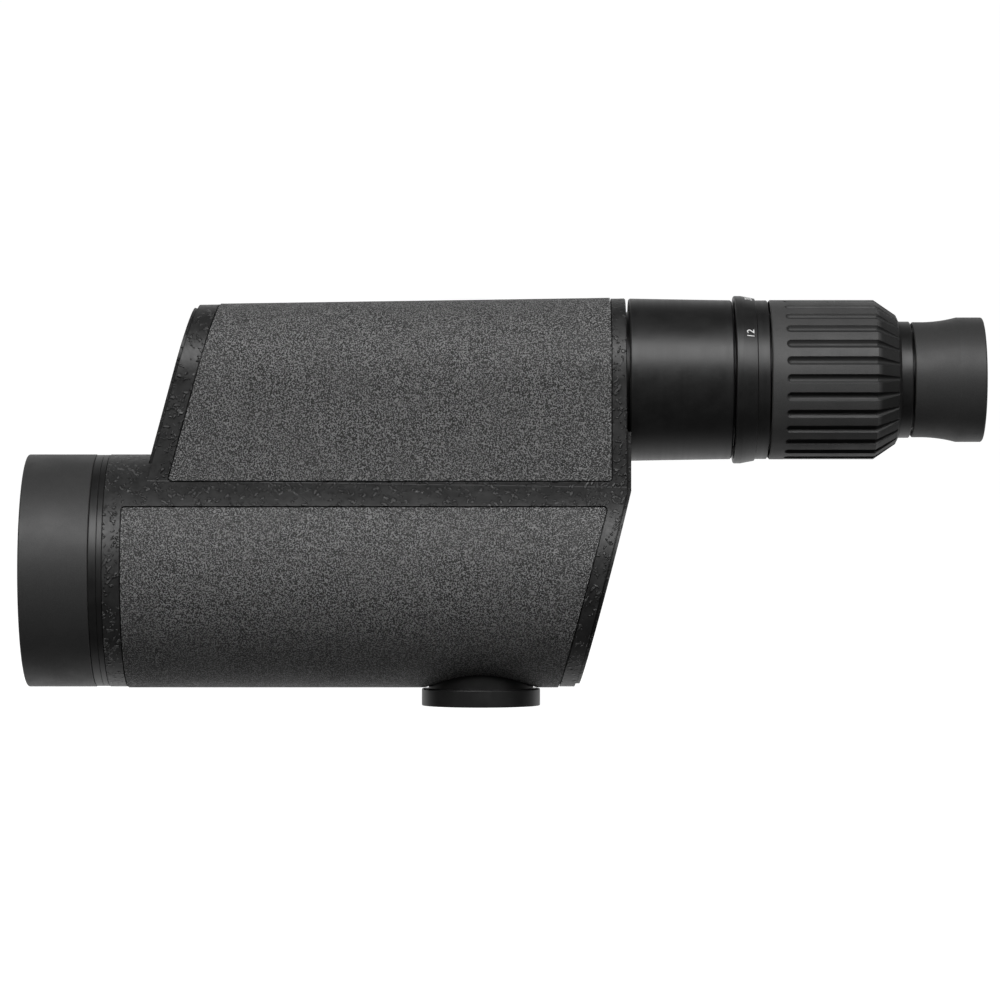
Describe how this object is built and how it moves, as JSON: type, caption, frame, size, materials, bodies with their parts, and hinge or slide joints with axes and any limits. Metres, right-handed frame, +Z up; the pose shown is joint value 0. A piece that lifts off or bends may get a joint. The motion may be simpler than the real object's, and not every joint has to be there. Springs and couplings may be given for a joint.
{
  "type": "spotting scope",
  "caption": "Folded spotting scope: large objective tube, upper mirror chamber in rubber armour, zoom eyepiece with numbered ring, ribbed focus grip, twist-up eyecup and tripod foot.",
  "frame": {"origin": "centre of the tripod foot's bottom face, at the mouth of the tripod thread", "axes": "+X along the optical axes towards the eyepiece, +Z up, Y across; the scope is symmetric about Y = 0"},
  "size_m": [0.3151, 0.0774, 0.1354],
  "materials": {
    "frame_paint": "textured black paint over cast alloy",
    "cover_paint": "textured black paint",
    "armor_rubber": "pebbled moulded rubber",
    "hood_rubber": "smooth matt rubber",
    "grip_rubber": "matt ribbed rubber",
    "eyecup_rubber": "matt soft rubber",
    "black_anodised": "satin black anodised",
    "inner_black": "matt black anodised, inside",
    "screw_black": "black oxide",
    "steel": "bright machined steel",
    "brass": "machined brass",
    "lens_glass": "coated optical glass",
    "mirror_coat": "front-silvered glass",
    "seal_rubber": "nitrile rubber",
    "slider_plastic": "acetal",
    "mark_white": "white filled dot"
  },
  "bodies": {
    "scope_body": {"main_housing": "frame_paint", "upper_armor": "armor_rubber", "lower_armor": "armor_rubber", "front_mirror_cover": "cover_paint", "front_cover_gasket": "seal_rubber", "front_cover_screws": "screw_black", "rear_mirror_cover": "cover_paint", "rear_cover_gasket": "seal_rubber", "rear_cover_screws": "screw_black", "mirror_clips": "steel", "objective_cell": "black_anodised", "objective_crown_lens": "lens_glass", "objective_flint_lens": "lens_glass", "objective_lens_spacer": "brass", "objective_retainer": "inner_black", "objective_o_ring": "seal_rubber", "dew_shield": "inner_black", "hood_sleeve": "hood_rubber", "stray_light_baffle": "inner_black", "tripod_foot": "black_anodised", "tripod_thread_insert": "steel", "tripod_foot_screws": "screw_black", "eyepiece_barrel": "black_anodised", "barrel_o_ring": "seal_rubber", "zoom_index_mark": "mark_white", "ring_seals": "seal_rubber", "guide_tube": "inner_black", "guide_tube_lock_ring": "inner_black", "field_lens": "lens_glass", "field_lens_cap": "inner_black", "ocular_housing": "black_anodised", "ocular_field_lens": "lens_glass", "ocular_spacer": "inner_black", "eye_lens": "lens_glass", "ocular_retainer": "inner_black", "eyecup_guide_pins": "steel", "front_mirror": "mirror_coat", "front_mirror_bracket": "inner_black", "rear_mirror": "mirror_coat", "rear_mirror_bracket": "inner_black"},
    "zoom": {"zoom_ring": "black_anodised", "zoom_cam_sleeve": "inner_black", "zoom_drive_screw": "steel"},
    "front_zoom_group": {"front_zoom_cell": "brass", "front_zoom_lens": "lens_glass", "front_zoom_pin": "steel"},
    "rear_zoom_group": {"rear_zoom_cell": "brass", "rear_zoom_lens": "lens_glass", "rear_zoom_pin": "steel"},
    "focus": {"focus_ring_core": "inner_black", "focus_grip": "grip_rubber"},
    "focus_group": {"focus_cell": "brass", "focus_lens": "lens_glass", "focus_pin": "steel"},
    "eyecup_carriage": {"eyecup_slider": "slider_plastic"},
    "eyecup": {"eyecup_sleeve": "black_anodised", "eyecup_rubber": "eyecup_rubber"}
  },
  "joints": [
    {"name": "zoom_turn", "type": "hinge", "parent": "scope_body", "child": "zoom", "pos_m": [0.089, 0, 0.1077], "axis": [1, 0, 0], "range_deg": [-58, 78.7]},
    {"name": "front_zoom_slide", "type": "slide", "parent": "scope_body", "child": "front_zoom_group", "axis": [1, 0, 0], "range_m": [-0.00925, 0.00683]},
    {"name": "rear_zoom_slide", "type": "slide", "parent": "scope_body", "child": "rear_zoom_group", "axis": [1, 0, 0], "range_m": [-0.01379, 0.01017]},
    {"name": "focus_turn", "type": "hinge", "parent": "scope_body", "child": "focus", "pos_m": [0.115, 0, 0.1077], "axis": [1, 0, 0], "range_deg": [-135, 135]},
    {"name": "focus_slide", "type": "slide", "parent": "scope_body", "child": "focus_group", "axis": [1, 0, 0], "range_m": [-0.00304, 0.00304]},
    {"name": "eyecup_lift", "type": "slide", "parent": "scope_body", "child": "eyecup_carriage", "axis": [1, 0, 0], "range_m": [0, 0.0075]},
    {"name": "eyecup_twist", "type": "hinge", "parent": "eyecup_carriage", "child": "eyecup", "pos_m": [0.15, 0, 0.1077], "axis": [1, 0, 0], "range_deg": [-0.5, 120.5]}
  ],
  "couplings": [
    {"joint": "front_zoom_slide", "follows": "zoom_turn", "m_per_rad": -0.0067},
    {"joint": "rear_zoom_slide", "follows": "zoom_turn", "m_per_rad": -0.01},
    {"joint": "focus_slide", "follows": "focus_turn", "m_per_rad": -0.00127},
    {"joint": "eyecup_twist", "follows": "eyecup_lift", "rad_per_m": 279.33}
  ]
}
